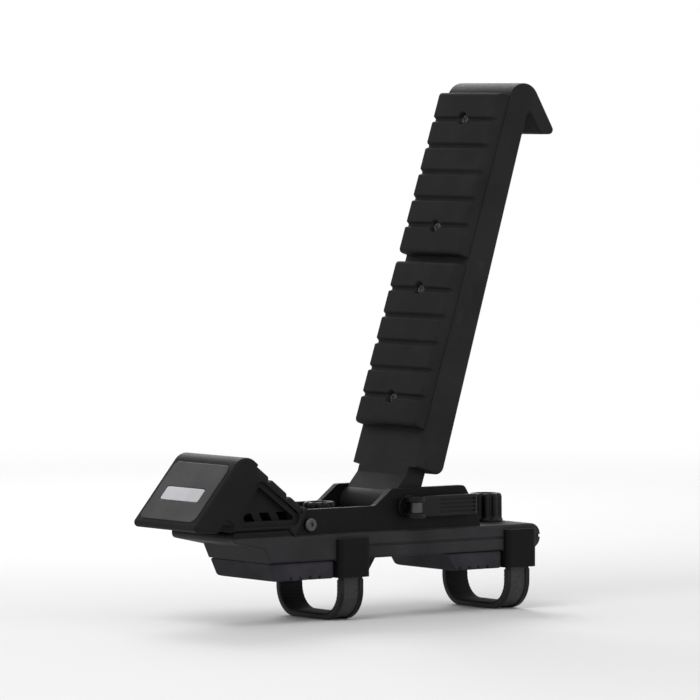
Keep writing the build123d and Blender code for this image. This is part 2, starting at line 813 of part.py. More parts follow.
# Lock lever: eccentric cam with a fork for the bolt's eye and a tapered handle
with BuildPart() as lock_lever:
    with BuildSketch(Plane.XY.offset(hinge_z - cam_height / 2)):
        with Locations((hinge_x, cam_pin_y + cam_throw)):
            Circle(cam_radius)
        handle_y = cam_pin_y + cam_radius - lever_thickness
        with BuildLine():
            Polyline(
                (hinge_x, handle_y),
                (hinge_x + lever_length, handle_y - lever_thickness / 3),
                (hinge_x + lever_length, handle_y + lever_thickness / 2),
                (hinge_x + cam_radius, handle_y + lever_thickness),
                (hinge_x, handle_y + lever_thickness),
                close=True,
            )
        make_face()
    extrude(amount=cam_height)
    fillet(lock_lever.edges().filter_by(Axis.Z).group_by(Axis.X)[-1], lever_thickness / 3)
    handle_rim = lock_lever.faces().filter_by(Axis.Z).edges().filter_by(GeomType.LINE)
    fillet(handle_rim.filter_by(lambda e: e.length > lever_length / 2), clear_gap)
    with BuildSketch(Plane.XY.offset(hinge_z - eye_thickness / 2 - slide_gap)):
        with Locations((hinge_x - 2 * cam_radius, cam_pin_y)):
            Rectangle(3 * cam_radius, 4 * cam_radius, align=(Align.MIN, Align.CENTER))
    extrude(amount=eye_thickness + 2 * slide_gap, mode=Mode.SUBTRACT)
    with BuildSketch(Plane.XY.offset(hinge_z - cam_height / 2)):
        with Locations((hinge_x, cam_pin_y)):
            Circle(cam_pin_radius + running_gap)
    extrude(amount=cam_height, mode=Mode.SUBTRACT)
    # Framed finger grip with level ribs on the handle's front
    grip_height = cam_height - 2 * grip_frame
    grip_pitch = (grip_height + grip_rib_height) / (grip_ribs + 1)
    handle_front = Plane(
        origin=(hinge_x, handle_y, hinge_z),
        x_dir=(lever_length, -lever_thickness / 3, 0),
        z_dir=(-lever_thickness / 3, -lever_length, 0),
    )
    with BuildSketch(handle_front):
        with Locations((lever_length - grip_frame - grip_length / 2, 0)):
            RectangleRounded(grip_length, grip_height, grip_rib_height)
            with GridLocations(0, grip_pitch, 1, grip_ribs):
                Rectangle(grip_length, grip_rib_height, mode=Mode.SUBTRACT)
    extrude(amount=-grip_depth, mode=Mode.SUBTRACT)
finish(lock_lever.part, "lock_lever")


def u_block(inset, top):
    """Filled U, inset from the band's inside, with round lower corners."""
    bottom = band_bottom + inset
    with BuildSketch() as block:
        with Locations((0, top)):
            Rectangle(2 * (band_half - inset), top - bottom, align=(Align.CENTER, Align.MAX))
        fillet(block.vertices().group_by(Axis.Y)[0], band_corner - inset)
    return block.sketch


def u_strip(inner_inset, outer_inset, top):
    """End view of a U shaped strip between two insets, with its legs up to a height."""
    with BuildSketch() as strip:
        add(u_block(outer_inset, top))
        add(u_block(inner_inset, top), mode=Mode.SUBTRACT)
    return strip.sketch


def make_clamp(side, x):
    """Band, liner, yoke, screws, stud, washer and knob of the clamp at x."""
    with BuildPart() as band:
        with BuildSketch(Plane.YZ.offset(x - band_width / 2)):
            add(u_strip(0, -band_thickness, yoke_top))
        extrude(amount=band_width)
        for start in (x - band_width / 2, x + band_width / 2 - band_edge):
            with BuildSketch(Plane.YZ.offset(start)):
                add(u_strip(0, -band_thickness - band_edge_height, -grip_gap))
            extrude(amount=band_edge)
        with BuildSketch(y_plane(band_half + 2 * band_thickness)):
            with Locations((x, yoke_middle)):
                Circle(band_screw_radius + seat_gap)
        extrude(amount=2 * band_half + 4 * band_thickness, mode=Mode.SUBTRACT)
    finish(band.part, f"{side}_band")

    with BuildPart() as liner:
        with BuildSketch(Plane.YZ.offset(x - band_width / 2)):
            add(u_strip(liner_thickness, 0, -grip_gap))
        extrude(amount=band_width)
    finish(liner.part, f"{side}_liner")

    with BuildPart() as yoke:
        with Locations((x, 0, yoke_middle)):
            Box(yoke_width, 2 * band_half, yoke_height)
        fillet(yoke.edges().filter_by(Axis.Y), clear_gap)
        with Locations((x, 0, yoke_top)):
            Hole(stud_radius + running_gap)
        with BuildSketch(y_plane(band_half)):
            with Locations((x, yoke_middle)):
                Circle(band_screw_radius + running_gap)
        extrude(amount=2 * band_half, mode=Mode.SUBTRACT)
    finish(yoke.part, f"{side}_yoke")

    with BuildPart() as band_screws:
        for y, way in ((band_half + band_thickness, 1), (-band_half - band_thickness, -1)):
            with BuildSketch(y_plane(y)):
                with Locations((x, yoke_middle)):
                    Circle(band_screw_head)
            extrude(amount=-way * band_screw_head_height)
            with BuildSketch(y_plane(y)):
                with Locations((x, yoke_middle)):
                    Circle(band_screw_radius)
            extrude(amount=way * (band_thickness + yoke_height))
    finish(band_screws.part, f"{side}_band_screws")

    with BuildPart() as stud:
        with BuildSketch(Plane.XY.offset(stud_end)):
            with Locations((x, 0)):
                Circle(stud_radius)
        extrude(amount=stud_top - stud_end)
        chamfer(stud.edges().group_by(Axis.Z)[0], clear_gap)
    finish(stud.part, f"{side}_stud")

    with BuildPart() as knob_washer:
        with BuildSketch(Plane.XY.offset(knob_seat)):
            with Locations((x, 0)):
                Circle(knob_radius - clear_gap)
                Circle(stud_radius + slide_gap, mode=Mode.SUBTRACT)
        extrude(amount=washer_thickness)
    finish(knob_washer.part, f"{side}_knob_washer")

    with BuildPart() as knob:
        with BuildSketch(Plane.XY.offset(knob_bottom)):
            with Locations((x, 0)):
                Circle(knob_radius)
        extrude(amount=knob_height)
        fillet(knob.edges().group_by(Axis.Z)[-1], rail_edge)
        with BuildSketch(Plane.XY.offset(knob_bottom + knob_flange)):
            with Locations((x, 0)):
                with PolarLocations(knob_radius + flute_radius / 3, knob_flutes):
                    Circle(flute_radius)
        extrude(amount=knob_height, mode=Mode.SUBTRACT)
        with BuildSketch(Plane.XY.offset(knob_bottom)):
            with Locations((x, 0)):
                Circle(stud_radius + running_gap / 2)
        extrude(amount=stud_top - knob_bottom, mode=Mode.SUBTRACT)
    finish(knob.part, f"{side}_knob")


make_clamp("outer", -clamp_x)
make_clamp("inner", clamp_x)
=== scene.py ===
# %% [markdown]
# # A folding J carrier with band clamps
# The carrier's solids come ready made: every moulding, pad and bolt is already at its real size and place.
# This lesson gives them their looks. A hard piece keeps its solid and gets a finish. Soft pads, threads,
# hand knobs and screw heads are modelled again as smooth surfaces, because those are the places where the
# eye looks for a rounded edge that a drawing leaves out. Lengths are in metres.

# %% Load the solids
import json
import math

import bpy
import numpy as np
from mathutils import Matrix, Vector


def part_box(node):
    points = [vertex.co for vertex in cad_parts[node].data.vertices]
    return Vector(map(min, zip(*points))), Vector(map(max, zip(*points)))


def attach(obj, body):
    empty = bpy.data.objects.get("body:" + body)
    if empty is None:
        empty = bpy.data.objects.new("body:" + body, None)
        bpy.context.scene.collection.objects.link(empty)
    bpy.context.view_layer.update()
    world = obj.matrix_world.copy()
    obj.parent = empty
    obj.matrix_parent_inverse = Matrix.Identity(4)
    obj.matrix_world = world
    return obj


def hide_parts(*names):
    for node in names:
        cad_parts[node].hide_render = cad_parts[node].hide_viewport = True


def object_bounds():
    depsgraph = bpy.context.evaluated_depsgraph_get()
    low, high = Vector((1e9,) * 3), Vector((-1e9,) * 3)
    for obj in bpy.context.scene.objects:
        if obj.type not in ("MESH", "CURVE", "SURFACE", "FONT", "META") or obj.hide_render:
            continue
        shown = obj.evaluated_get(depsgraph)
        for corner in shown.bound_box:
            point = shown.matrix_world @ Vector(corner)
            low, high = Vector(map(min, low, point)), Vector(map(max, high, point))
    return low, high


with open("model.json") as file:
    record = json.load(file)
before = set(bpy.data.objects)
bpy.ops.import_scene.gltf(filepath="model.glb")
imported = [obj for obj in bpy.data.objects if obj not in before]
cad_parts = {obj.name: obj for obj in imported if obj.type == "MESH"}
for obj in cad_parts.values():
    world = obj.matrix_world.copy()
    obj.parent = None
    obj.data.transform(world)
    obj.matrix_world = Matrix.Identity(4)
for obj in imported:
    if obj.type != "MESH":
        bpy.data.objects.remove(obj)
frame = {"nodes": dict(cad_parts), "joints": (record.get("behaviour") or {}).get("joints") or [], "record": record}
nodes = frame["nodes"]
cad_low, cad_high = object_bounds()
joints = {joint["name"]: joint for joint in frame["joints"]}
print(len(nodes), "solids,", " x ".join(f"{1000 * side:.0f}" for side in cad_high - cad_low), "mm over all")

# %% [markdown]
# ## Shader maths
# A finish is a small graph of nodes. Wiring every Math node by hand hides the formula, so one class wraps an
# output socket and lets Python's own operators add the nodes. Colours go through a Mix node instead, because
# a Math node would turn them grey.


# %% A value in a node tree
class Value:
    """An output socket of a material's tree. Arithmetic on it adds Math nodes to that tree."""

    def __init__(self, tree, socket=None):
        self.tree = tree
        self.socket = socket

    def node(self, kind, settings=None, sockets=None, output=0):
        """Add a node of a type, set its settings, then fill its sockets with numbers, colours or links."""
        made = self.tree.nodes.new(kind)
        for name, setting in (settings or {}).items():
            setattr(made, name, setting)
        for key, given in (sockets or {}).items():
            if isinstance(given, Value):
                self.tree.links.new(given.socket, made.inputs[key])
            else:
                made.inputs[key].default_value = given
        return Value(self.tree, made.outputs[output] if made.outputs else None)

    def math(self, operation, first, second=0.0):
        """One Math node on two values or numbers."""
        return self.node("ShaderNodeMath", {"operation": operation}, {0: first, 1: second})

    def __add__(self, other):
        return self.math("ADD", self, other)

    __radd__ = __add__

    def __sub__(self, other):
        return self.math("SUBTRACT", self, other)

    def __mul__(self, other):
        return self.math("MULTIPLY", self, other)

    __rmul__ = __mul__

    def __abs__(self):
        return self.math("ABSOLUTE", self)

    def either(self, other):
        """The larger of two masks."""
        return self.math("MAXIMUM", self, other)

    def step(self, start, end):
        """Smooth ramp from 0 where the value is start to 1 where it is end."""
        ends = {"Value": self, "From Min": start, "From Max": end}
        return self.node("ShaderNodeMapRange", {"interpolation_type": "SMOOTHSTEP"}, ends)

    def mix(self, low, high):
        """Colour that goes from low to high as this value goes from 0 to 1."""
        return self.node("ShaderNodeMix", {"data_type": "RGBA"}, {0: self, 6: low, 7: high}, output=2)


# %% Colours
def grey(level, blue=0.0, red=0.0):
    """Linear colour of a grey of a screen level from 0 to 255, tipped a little towards blue or red.

    The screen's curve is undone: level / 12.92 near black, else ((level + 0.055) / 1.055) to the power 2.4.
    """
    screen = level / 255 * np.array([1.0 + red, 1.0, 1.0 + blue])
    linear = np.where(screen <= 0.04045, screen / 12.92, ((screen + 0.055) / 1.055) ** 2.4)
    return (*linear.tolist(), 1.0)


print("a screen grey of 128 is", " ".join(f"{part:.3f}" for part in grey(128)[:3]), "in linear colour")


# %% Start of a finish and its textures
def start_finish(name):
    """New material with an empty tree; gives the material, a value to add nodes from and the Object place."""
    material = bpy.data.materials.new(name)
    material.use_nodes = True
    material.node_tree.nodes.clear()
    tree = Value(material.node_tree)
    return material, tree, tree.node("ShaderNodeTexCoord", output="Object")


def noise(tree, place, size, detail=2.0, stretch=None):
    """Noise with grains of about that size in metres, stretched along the axes if asked."""
    if stretch:
        place = tree.node("ShaderNodeMapping", None, {"Vector": place, "Scale": stretch})
    return tree.node("ShaderNodeTexNoise", None, {"Vector": place, "Scale": 1 / size, "Detail": detail})


def cells(tree, place, size):
    """Distance from the middle of rounded cells of about that size in metres."""
    return tree.node("ShaderNodeTexVoronoi", None, {"Vector": place, "Scale": 1 / size})


# %% End of a finish
EDGE_ROUND = 0.0007
EDGE_SAMPLES = 6
# Where the softened normal parts from the true one, the edge turns lighter: a painted highlight with some rubbing
# in it.
EDGE_UNMARKED = 0.98
EDGE_WORN_AND_LIT = 0.8
EDGE_WEAR_AND_HIGHLIGHT_STRENGTH = 0.7
RUB_POLISH = 0.08


def end_finish(tree, colour, roughness, height, relief, fixed, edge_wear_and_highlight_colour=None):
    """Wire colour, roughness and a relief of so many metres into one Principled shader with soft edges.

    An edge is where the softened normal leaves the true one. It may turn lighter: partly rubbing, partly a painted
    highlight.
    """
    soft = tree.node("ShaderNodeBevel", {"samples": EDGE_SAMPLES}, {"Radius": EDGE_ROUND})
    # Lighter edges: partly rubbing, partly a painted highlight along every edge.
    if edge_wear_and_highlight_colour:
        normals = {0: soft, 1: tree.node("ShaderNodeNewGeometry", output="Normal")}
        agreement = tree.node("ShaderNodeVectorMath", {"operation": "DOT_PRODUCT"}, normals, output="Value")
        edge_wear_and_highlight = agreement.step(EDGE_UNMARKED, EDGE_WORN_AND_LIT)
        colour = (EDGE_WEAR_AND_HIGHLIGHT_STRENGTH * edge_wear_and_highlight).mix(colour, edge_wear_and_highlight_colour)
        roughness = roughness - RUB_POLISH * edge_wear_and_highlight
    bump = tree.node("ShaderNodeBump", None, {"Distance": relief, "Height": height, "Normal": soft})
    sockets = {"Base Color": colour, "Roughness": roughness, "Normal": bump, **fixed}
    shader = tree.node("ShaderNodeBsdfPrincipled", None, sockets)
    tree.node("ShaderNodeOutputMaterial", None, {"Surface": shader})


print(f"edges are rounded by {1000 * EDGE_ROUND:.1f} mm in every finish")

# %% [markdown]
# ## Moulded plastic
# The base, the nose and the upright are glass filled nylon, moulded in a spark eroded tool. Its skin is a
# field of fine pebbles with a slow drift of shade where the melt flowed. A Voronoi cell gives the pebble, one
# wide noise the drift, and a stretched noise the few light rubs that handling leaves. Edges are a little
# smoother than the faces from rubbing, and lighter: partly rubbing, partly a painted highlight.

# %% Skin of the mouldings
PEBBLE = 0.0011
PEBBLE_RELIEF = 0.00012
GRAIN_SHARE = 0.4
DULL_PATCH = 0.045
NYLON_ROUGHNESS = 0.46
FLOW = 0.05
FLOW_DRIFT = 0.14
NYLON_BLUE = 0.04
MIDDLE_BAND = (0.3, 0.7)


def nylon_skin(tree, place):
    """Height and roughness of the pebbled skin: cells for the pebbles, a fine grain on them, dull patches."""
    grain = noise(tree, place, PEBBLE / 2)
    patches = noise(tree, place, DULL_PATCH, detail=3.0)
    height = cells(tree, place, PEBBLE) + GRAIN_SHARE * grain
    return height, NYLON_ROUGHNESS + 0.1 * grain + 0.1 * patches


def drifting(tree, place, level):
    """Grey that drifts a little lighter and darker, as the melt flowed through the tool."""
    flow = noise(tree, place, FLOW, detail=3.0).step(*MIDDLE_BAND)
    dark, pale = (grey(level * share, NYLON_BLUE) for share in (1 - FLOW_DRIFT, 1 + FLOW_DRIFT))
    return flow.mix(dark, pale)


# %% Finish of the nose and the upright
HANDLING = 0.02
HANDLING_STRETCH = (1.0, 0.12, 0.5)
HANDLING_BAND = (0.58, 0.72)
HANDLING_STRENGTH = 0.3
HANDLING_SHADE = 1.5
HANDLING_POLISH = 0.08
# How much lighter the edges are: a painted highlight, with some rubbing in it.
NYLON_EDGE = 32
NYLON_GLOSS = {"Specular IOR Level": 0.1}


def moulded_plastic(name, level):
    """Pebbled moulding with a few light rubs from handling, and lighter edges that are partly a painted highlight.
    """
    material, tree, place = start_finish(name)
    height, roughness = nylon_skin(tree, place)
    rubs = noise(tree, place, HANDLING, detail=4.0, stretch=HANDLING_STRETCH).step(*HANDLING_BAND)
    handled = grey(level * HANDLING_SHADE, 0.02)
    colour = (HANDLING_STRENGTH * rubs).mix(drifting(tree, place, level), handled)
    roughness = roughness - HANDLING_POLISH * rubs
    end_finish(tree, colour, roughness, height, PEBBLE_RELIEF, NYLON_GLOSS, grey(level + NYLON_EDGE))
    return material


finishes = {
    "moulded": moulded_plastic("moulded_nylon", 20),
    "upright": moulded_plastic("upright_nylon", 30),
}
print(len(finishes), "finishes of the mouldings")

# %% Finish of the base
LEDGE = 0.0385
LEDGE_BLEND = 0.0006
RAIL_HALF = 0.046
RAIL_SIDE_BLEND = (0.0002, 0.0008)
RAIL_BOTTOM = 0.016
RAIL_BOTTOM_BLEND = (0.0004, 0.001)
# How much lighter the rail's edges are: a painted highlight, with some rubbing in it.
RAIL_EDGE = 18


def base_plastic(name, rail_level, shaded_cheek_level, shaded_tower_level):
    """The base's moulding in three shades: greyer rail, and cheeks above its ledge and clamp towers darkened as
    painted shade.
    """
    material, tree, place = start_finish(name)
    height, roughness = nylon_skin(tree, place)
    y = tree.node("ShaderNodeSeparateXYZ", None, {0: place}, output="Y")
    z = tree.node("ShaderNodeSeparateXYZ", None, {0: place}, output="Z")
    # Painted shade: the cheeks above the ledge and the towers beside and under the rail are the same nylon, darker
    # than the rail.
    above = z.step(LEDGE - LEDGE_BLEND, LEDGE + LEDGE_BLEND)
    beside = abs(y).step(*(RAIL_HALF + gap for gap in RAIL_SIDE_BLEND))
    below = z.step(*(RAIL_BOTTOM - gap for gap in RAIL_BOTTOM_BLEND))
    shade = above.mix(drifting(tree, place, rail_level), drifting(tree, place, shaded_cheek_level))
    colour = beside.either(below).mix(shade, drifting(tree, place, shaded_tower_level))
    end_finish(tree, colour, roughness, height, PEBBLE_RELIEF, NYLON_GLOSS, grey(rail_level + RAIL_EDGE))
    return material


finishes["base"] = base_plastic("base_nylon", rail_level=44, shaded_cheek_level=13, shaded_tower_level=10)
print("the base changes shade at", f"{1000 * LEDGE:.1f} and {1000 * RAIL_BOTTOM:.1f} mm")

# %% [markdown]
# ## Rubber, coated steel and plated steel
# Rubber is dull, with a dusty bloom on it. The bands are powder coated, which leaves a soft orange peel.
# Studs and yokes are zinc plated: bright, a little blue, and clouded where the plating is thin. Bolts and
# screws that show are black zinc, the same plate in a dark bath.

# %% Finishes of the pads and saddles
SPECKLE = 0.0009
SPECKLE_RELIEF = 0.00012
BLOOM = 0.03
BLOOM_BAND = (0.35, 0.75)
BLOOM_SHADES = (0.88, 1.22)
RUBBER_ROUGHNESS = 0.68
RUBBER_GLOSS = {"Specular IOR Level": 0.1}


def black_rubber(name, level, blue=0.02, red=0.0):
    """Matte rubber: a pale bloom in wide patches and a fine speckle in its relief and roughness."""
    material, tree, place = start_finish(name)
    speckle = noise(tree, place, SPECKLE, detail=3.0)
    bloom = noise(tree, place, BLOOM, detail=4.0).step(*BLOOM_BAND)
    dark, pale = (grey(level * share, blue, red) for share in BLOOM_SHADES)
    roughness = RUBBER_ROUGHNESS + 0.14 * bloom + 0.06 * speckle
    end_finish(tree, bloom.mix(dark, pale), roughness, speckle, SPECKLE_RELIEF, RUBBER_GLOSS)
    return material


finishes["rubber"] = black_rubber("black_rubber", 34)
finishes["saddle"] = black_rubber("saddle_rubber", 48, blue=0.1, red=0.04)
print("rubber of the pads, and a bluer one of the saddles")

# %% Finish of the bands
PEEL = 0.0022
PEEL_GRAIN = 0.0007
PEEL_RELIEF = 0.00009
CLAMP_X = 0.09
CORE_HALF = 0.008
CORE_BLEND = 0.0004
CORE_SHADES = (0.9, 1.12)
RIM_SHADES = (0.9, 1.15)
COAT_ROUGHNESS = 0.36
COAT_GLOSS = {"Specular IOR Level": 0.2}


def coated_steel(name, rim_level, core_highlight_level):
    """Powder coat with orange peel: dark raised rims, and between them on each band a greyer core that is a
    painted highlight.
    """
    material, tree, place = start_finish(name)
    peel = noise(tree, place, PEEL)
    grain = noise(tree, place, PEEL_GRAIN)
    x = tree.node("ShaderNodeSeparateXYZ", None, {0: place}, output="X")
    # The greyer core between the rims is a painted highlight along the middle of each band.
    on_rim = abs(abs(x) - CLAMP_X).step(CORE_HALF - CORE_BLEND, CORE_HALF + CORE_BLEND)
    shade = peel.step(*MIDDLE_BAND)
    core = shade.mix(*(grey(core_highlight_level * share) for share in CORE_SHADES))
    rim = shade.mix(*(grey(rim_level * share) for share in RIM_SHADES))
    roughness = COAT_ROUGHNESS + 0.14 * grain
    end_finish(tree, on_rim.mix(core, rim), roughness, peel + 0.3 * grain, PEEL_RELIEF, COAT_GLOSS)
    return material


finishes["band"] = coated_steel("powder_coat", rim_level=10, core_highlight_level=52)
print(f"bands at {1000 * CLAMP_X:.0f} mm to each side, with a core of {2000 * CORE_HALF:.0f} mm")

# %% Finishes of the studs, yokes and fasteners
CLOUD = 0.008
MARK = 0.0012
MARK_STRETCH = (1.0, 0.06, 1.0)
MARK_RELIEF = 0.00002
PLATE_ROUGHNESS = 0.24


def plated_steel(name, level):
    """Zinc plate, bright or blacked: metal with clouds of duller plating and fine drawing marks."""
    material, tree, place = start_finish(name)
    clouds = noise(tree, place, CLOUD, detail=4.0).step(*MIDDLE_BAND)
    marks = noise(tree, place, MARK, stretch=MARK_STRETCH)
    colour = clouds.mix(grey(level * 0.9, 0.02), grey(level * 1.06, 0.03))
    roughness = PLATE_ROUGHNESS + 0.16 * clouds + 0.1 * marks
    end_finish(tree, colour, roughness, marks, MARK_RELIEF, {"Metallic": 1.0})
    return material


finishes["steel"] = plated_steel("zinc_plate", 170)
finishes["black_zinc"] = plated_steel("black_zinc_plate", 74)
print("zinc plate, bright and black")

# %% [markdown]
# ## Cover, grips and bearings
# The nose's cover has a smoother satin skin than the moulding round it. Knobs and lever are the same nylon in
# a polished tool, and the thin washers at the hinge are black acetal. A pale satin is for the inlay.

# %% Finishes of the smooth plastics
SATIN_GRAIN = 0.0005
SATIN_RELIEF = 0.00003
SATIN_FLOW = 0.035
SATIN_BLUE = 0.02
WIPE = 0.012
WIPE_STRETCH = (0.3, 1.0, 1.0)
WIPE_BAND = (0.5, 0.8)
# How much lighter the edges are: a painted highlight, with some rubbing in it.
SATIN_EDGE = 30
SATIN_GLOSS = {"Specular IOR Level": 0.16}


def satin_plastic(name, level, dullness, drift=0.1):
    """Satin skin: very fine grain, a soft drift of shade, a few swirls from wiping, and lighter edges that are
    partly a painted highlight.
    """
    material, tree, place = start_finish(name)
    grain = noise(tree, place, SATIN_GRAIN)
    flow = noise(tree, place, SATIN_FLOW, detail=3.0)
    wipes = noise(tree, place, WIPE, detail=5.0, stretch=WIPE_STRETCH).step(*WIPE_BAND)
    dark, pale = (grey(level * share, SATIN_BLUE) for share in (1 - drift, 1 + drift))
    colour = flow.step(*MIDDLE_BAND).mix(dark, pale)
    roughness = dullness + 0.1 * flow + 0.08 * wipes
    end_finish(tree, colour, roughness, grain, SATIN_RELIEF, SATIN_GLOSS, grey(level + SATIN_EDGE))
    return material


finishes["cover"] = satin_plastic("cover_satin", 60, 0.42)
finishes["grip"] = satin_plastic("grip_satin", 13, 0.36)
finishes["acetal"] = satin_plastic("black_acetal", 16, 0.42)
finishes["inlay"] = satin_plastic("pale_inlay", 204, 0.4, drift=0.03)
print("all finishes:", ", ".join(finishes))

# %% Finishes on the solids
by_slot = {
    "moulded_black": "moulded",
    "cover_grey": "cover",
    "black_rubber": "rubber",
    "coated_steel": "band",
    "plated_steel": "steel",
    "black_zinc": "black_zinc",
    "grip_black": "grip",
    "bearing_plastic": "acetal",
}
own_finish = {"base": "base", "upright_arm": "upright"}
slots = {part["node"]: part["material_slot"] for part in frame["record"]["subparts"]}
for name, node in nodes.items():
    finish = own_finish.get(name, by_slot[slots[name]])
    for holder in node.material_slots:
        holder.material = finishes[finish]
print(len(finishes), "finishes on", len(nodes), "solids")

# %% [markdown]
# ## Surfaces from arrays
# Every new piece is a stack of rings: a closed line of points that changes its shape from one end of the
# piece to the other. Numpy works out all the points at once, a fan closes each end, and the volume inside
# tells whether the faces look outwards.


# %% Closed lofts
def close_loft(rings):
    """Points and faces through rings of points: quads between neighbours and a fan on each end ring."""
    rows, columns = rings.shape[:2]
    here = np.arange(rows * columns).reshape(rows, columns)
    right = np.roll(here, -1, axis=1)
    quads = np.stack([here[:-1], right[:-1], right[1:], here[1:]], axis=-1).reshape(-1, 4)
    poles = rows * columns + np.arange(2)
    start = np.stack([right[0], here[0], np.full(columns, poles[0])], axis=-1)
    end = np.stack([here[-1], right[-1], np.full(columns, poles[1])], axis=-1)
    points = np.concatenate([rings.reshape(-1, 3), rings[[0, -1]].mean(axis=1)])
    return points, quads, np.concatenate([start, end])


def inside_volume(points, quads, triangles):
    """Sum over all corners' triangles of a . (b x c) / 6, positive where the faces look outwards."""
    corners = np.concatenate([triangles, quads[:, [0, 1, 2]], quads[:, [0, 2, 3]]])
    a, b, c = (points[corners[:, k]] for k in range(3))
    return np.einsum("ij,ij->", a, np.cross(b, c)) / 6


def add_piece(name, lofts, finish, body, replaced=()):
    """Mesh of one or more lofts, shaded smooth, that rides on a body and may stand for solids."""
    points = []
    faces = []
    for rings in lofts:
        place, quads, triangles = close_loft(rings)
        if inside_volume(place, quads, triangles) < 0:
            quads = quads[:, ::-1]
            triangles = triangles[:, ::-1]
        start = sum(len(p) for p in points)
        points.append(place)
        faces += (quads + start).tolist() + (triangles + start).tolist()
    mesh = bpy.data.meshes.new(name)
    mesh.from_pydata(np.concatenate(points).tolist(), [], faces)
    mesh.polygons.foreach_set("use_smooth", np.ones(len(mesh.polygons), bool))
    mesh.materials.append(finishes[finish])
    piece = bpy.data.objects.new(name, mesh)
    bpy.context.scene.collection.objects.link(piece)
    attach(piece, body)
    if replaced:
        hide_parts(*replaced)
    print(f"{name}: {len(mesh.vertices)} points, {len(mesh.polygons)} faces")
    return piece


def sharpen(piece, angle):
    """Mark edges that turn by more than an angle in degrees as sharp, so that flat ends stay flat."""
    piece.data.set_sharp_from_angle(angle=math.radians(angle))
    return piece


# %% [markdown]
# ## Foam rubber pads
# A load leans on two pads on the upright and one on the nose. A real one is moulded foam with a tough skin:
# its edges are rolled, its face is a little crowned between soft grooves, and its screws sit in dimples.
# A height over a grid says all of that, so a pad is a loft of its cross sections from one end to the other.

# %% The slope that carries the upright's pads
LEAN = math.radians(18)
pivot = np.array(joints["upright_fold"]["pos_m"])
along = np.array([math.sin(LEAN), 0.0, math.cos(LEAN)])
facing = np.array([-math.cos(LEAN), 0.0, math.sin(LEAN)])
across = np.array([0.0, 1.0, 0.0])
print(f"pads lean on a plane {math.degrees(LEAN):.0f} degrees from upright")

# %% Stations along a piece
FOCUS_STATIONS = 33


def spread(length, count, focus=(), reach=0.007):
    """Stations from end to end, closer together at both ends and within reach of each place in focus."""
    ends = length / 2 * (1 - np.cos(np.linspace(0, np.pi, count)))
    near = [np.linspace(place - reach, place + reach, FOCUS_STATIONS) for place in focus]
    return np.unique(np.round(np.concatenate([np.linspace(0, length, count), ends, *near]), 6))


def in_a_row(middle, count, pitch):
    """Places at a pitch, as many on one side of the middle as on the other."""
    return middle + (np.arange(count) - (count - 1) / 2) * pitch


def rolled_ends(stations, length, roll):
    """How far the section draws in at each station: a quarter circle of radius roll at both ends."""
    near = np.clip(np.minimum(stations, length - stations), 0, roll)
    return roll - np.sqrt(roll**2 - (roll - near) ** 2)


# %% Height of a pad over its grid
PAD_ROLL = 0.0035
PAD_CROWN = 0.0009
PAD_LEAST = 0.001
GROOVE_PITCH = 0.024
GROOVE_WIDTH = 0.0042
GROOVE_DEPTH = 0.003
SCREW_RADIUS = 0.0045
SCREW_TOP = 0.009
SCREW_SUNK = 0.003
DIMPLE_GAP = 0.0007
DIMPLE_SLOPE = 0.00025


def pad_height(x, y, length, width, thickness, screws):
    """Thickness, less a crown that falls to the sides, rolled edges, soft grooves and screw dimples."""
    rolled = rolled_ends(x, length, PAD_ROLL) + rolled_ends(y + width / 2, width, PAD_ROLL)
    places = in_a_row(length / 2, int((length - GROOVE_PITCH / 2) // GROOVE_PITCH), GROOVE_PITCH)
    groove = np.exp(-(((x[..., None] - places) / (GROOVE_WIDTH / 2)) ** 4)).sum(axis=-1)
    height = thickness - PAD_CROWN * (2 * y / width) ** 2 - rolled - GROOVE_DEPTH * groove
    for place in screws:
        reach = np.hypot(x - place, y)
        inside = 1 / (1 + np.exp((reach - SCREW_RADIUS - DIMPLE_GAP) / DIMPLE_SLOPE))
        height = height * (1 - inside) + (SCREW_TOP - SCREW_SUNK) * inside
    return np.maximum(height, PAD_LEAST)


# %% Loft of a pad
PAD_SECTIONS = 120
FACE_POINTS = 60
BACK_POINTS = 12


def pad_loft(origin, run, normal, length, width, thickness, screws):
    """Cross sections of a pad along its length: the face from side to side, then back along its seat."""
    x = spread(length, PAD_SECTIONS, screws)
    y = spread(width, FACE_POINTS, [width / 2] if screws else []) - width / 2
    grid_x, grid_y = np.meshgrid(x, y, indexing="ij")
    face = pad_height(grid_x, grid_y, length, width, thickness, screws)
    back = np.linspace(width / 2, -width / 2, BACK_POINTS)
    ring_y = np.concatenate([y, back])
    ring_z = np.concatenate([face, np.zeros((len(x), len(back)))], axis=1)
    return origin + x[:, None, None] * run + ring_y[None, :, None] * across + ring_z[..., None] * normal


# %% Two pads on the upright
SEAT_OFFSET = 0.004
PAD_THICKNESS = 0.012
PAD_LENGTH = 0.146
PAD_WIDTH = 0.088
PAD_STARTS = {"lower": 0.068, "upper": 0.222}
screw_reach = PAD_LENGTH / 2 - GROOVE_PITCH
screw_places = [PAD_LENGTH / 2 - screw_reach, PAD_LENGTH / 2 + screw_reach]
for position, start in PAD_STARTS.items():
    seat = pivot + facing * SEAT_OFFSET + along * start
    loft = pad_loft(seat, along, facing, PAD_LENGTH, PAD_WIDTH, PAD_THICKNESS, screw_places)
    node = f"upright_{position}_pad"
    pad = add_piece(f"{position}_foam_pad", [loft], "rubber", "upright", [node])
    sharpen(pad, 60)

